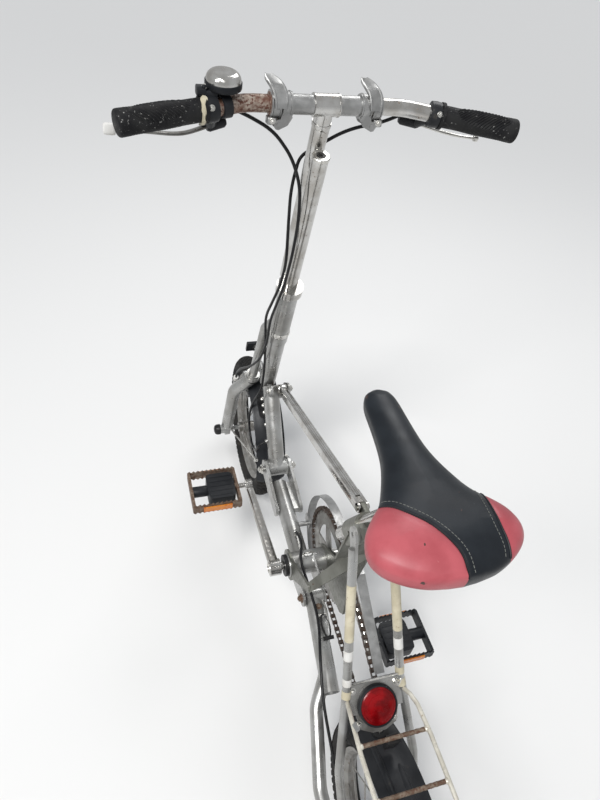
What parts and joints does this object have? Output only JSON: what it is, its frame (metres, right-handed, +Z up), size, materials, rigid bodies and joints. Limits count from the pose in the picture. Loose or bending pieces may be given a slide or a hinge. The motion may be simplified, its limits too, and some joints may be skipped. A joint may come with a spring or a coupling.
{
  "type": "folding bike",
  "caption": "Small-wheeled silver folding bike with a one-sided fork, a hinged bar frame, folding handlebars, a black and red saddle and a rear rack.",
  "frame": {"origin": "on top of the saddle, at the middle of its width, where the rider rests", "axes": "+X to the bike's right, +Y forward towards the front wheel, +Z up"},
  "size_m": [0.5662, 1.2486, 1.0412],
  "materials": {
    "silver_paint": "satin",
    "chrome": "polished",
    "bare_steel": "satin",
    "grey_alloy": "satin",
    "black_metal": "satin",
    "tyre_rubber": "matte",
    "grip_rubber": "matte",
    "black_plastic": "matte",
    "housing": "glossy",
    "red_lens": "glossy",
    "saddle_vinyl": "matte",
    "chain_steel": "satin"
  },
  "bodies": {
    "saddle": {"saddle_cover": "saddle_vinyl", "saddle_frame": "black_metal", "seat_post": "chrome"},
    "seat_bracket": {"seat_bracket": "silver_paint"},
    "tie_rod": {"tie_rod": "grey_alloy"},
    "mid_frame": {"mid_frame": "silver_paint", "bearing_cups": "black_metal", "chain_guard": "grey_alloy", "chain": "chain_steel", "lower_brake_cable": "housing"},
    "front_frame": {"front_frame": "silver_paint"},
    "rear_arm": {"rear_arm": "silver_paint", "rear_brake": "bare_steel"},
    "rear_stays": {"rear_stays": "silver_paint", "rear_rack": "chrome", "rear_reflector": "red_lens", "rear_fender": "black_plastic"},
    "fork": {"fork": "silver_paint", "lock_ring": "chrome", "stem": "chrome", "bar_centre": "grey_alloy", "front_fender": "black_plastic", "front_brake": "grey_alloy", "front_reflector": "black_plastic", "front_brake_cable": "housing", "rear_brake_cable": "housing"},
    "bar_left": {"bar_left": "chrome", "grip_left": "grip_rubber", "brake_lever_left": "grey_alloy", "bell": "chrome"},
    "bar_right": {"bar_right": "chrome", "grip_right": "grip_rubber", "brake_lever_right": "grey_alloy"},
    "front_wheel": {"front_rim": "grey_alloy", "front_tyre": "tyre_rubber"},
    "rear_wheel": {"rear_rim": "grey_alloy", "rear_tyre": "tyre_rubber", "rear_sprocket": "chain_steel"},
    "crank": {"cranks": "chrome", "chainring": "bare_steel"},
    "pedal_left": {"pedal_left": "black_plastic"},
    "pedal_right": {"pedal_right": "black_plastic"}
  },
  "joints": [
    {"name": "post_height", "type": "slide", "parent": "saddle", "child": "seat_bracket", "axis": [0, 0.4691, -0.8832], "range_m": [-0.03, 0.05]},
    {"name": "frame_fold", "type": "hinge", "parent": "seat_bracket", "child": "mid_frame", "pos_m": [0, 0.262, -0.509], "axis": [-1, 0, 0], "range_deg": [0, 93.93]},
    {"name": "front_fold", "type": "hinge", "parent": "mid_frame", "child": "front_frame", "pos_m": [0, 0.502, -0.516], "axis": [1, 0, 0], "range_deg": [0, 80]},
    {"name": "rear_fold", "type": "hinge", "parent": "mid_frame", "child": "rear_arm", "pos_m": [-0.013, 0.19, -0.505], "axis": [1, 0, 0], "range_deg": [0, 116.62], "deforming": ["chain", "lower_brake_cable"]},
    {"name": "stay_turn", "type": "hinge", "parent": "rear_arm", "child": "rear_stays", "pos_m": [0, -0.167, -0.606], "axis": [-1, 0, 0], "range_deg": [0, 4.36]},
    {"name": "tie_turn", "type": "hinge", "parent": "seat_bracket", "child": "tie_rod", "pos_m": [0.019, 0.171, -0.226], "axis": [-1, 0, 0], "range_deg": [0, 46.12]},
    {"name": "steering", "type": "hinge", "parent": "front_frame", "child": "fork", "pos_m": [0, 0.61678, -0.31122], "axis": [0, -0.2487, 0.9686], "range_deg": [-50, 50], "deforming": ["front_brake_cable", "rear_brake_cable"]},
    {"name": "front_wheel_turn", "type": "hinge", "parent": "fork", "child": "front_wheel", "pos_m": [0, 0.718, -0.606], "axis": [1, 0, 0], "continuous": true},
    {"name": "rear_wheel_turn", "type": "hinge", "parent": "rear_arm", "child": "rear_wheel", "pos_m": [0, -0.167, -0.606], "axis": [1, 0, 0], "continuous": true},
    {"name": "bar_left_fold", "type": "hinge", "parent": "fork", "child": "bar_left", "pos_m": [-0.066, 0.50578, 0.19961], "axis": [0, -1, 0], "range_deg": [0, 95], "deforming": ["front_brake_cable"]},
    {"name": "bar_right_fold", "type": "hinge", "parent": "fork", "child": "bar_right", "pos_m": [0.066, 0.50578, 0.19961], "axis": [0, 1, 0], "range_deg": [0, 95], "deforming": ["rear_brake_cable"]},
    {"name": "crank_turn", "type": "hinge", "parent": "mid_frame", "child": "crank", "pos_m": [0, 0.262, -0.509], "axis": [1, 0, 0], "continuous": true},
    {"name": "pedal_left_turn", "type": "hinge", "parent": "crank", "child": "pedal_left", "pos_m": [-0.152, 0.41705, -0.45257], "axis": [1, 0, 0], "continuous": true},
    {"name": "pedal_right_turn", "type": "hinge", "parent": "crank", "child": "pedal_right", "pos_m": [0.14, 0.10695, -0.56543], "axis": [1, 0, 0], "continuous": true}
  ],
  "couplings": [
    {"joint": "front_fold", "follows": "frame_fold", "ratio": 0.8517},
    {"joint": "rear_fold", "follows": "frame_fold", "ratio": 1.2416},
    {"joint": "stay_turn", "follows": "frame_fold", "ratio": 0.046418},
    {"joint": "tie_turn", "follows": "frame_fold", "ratio": 0.491}
  ]
}
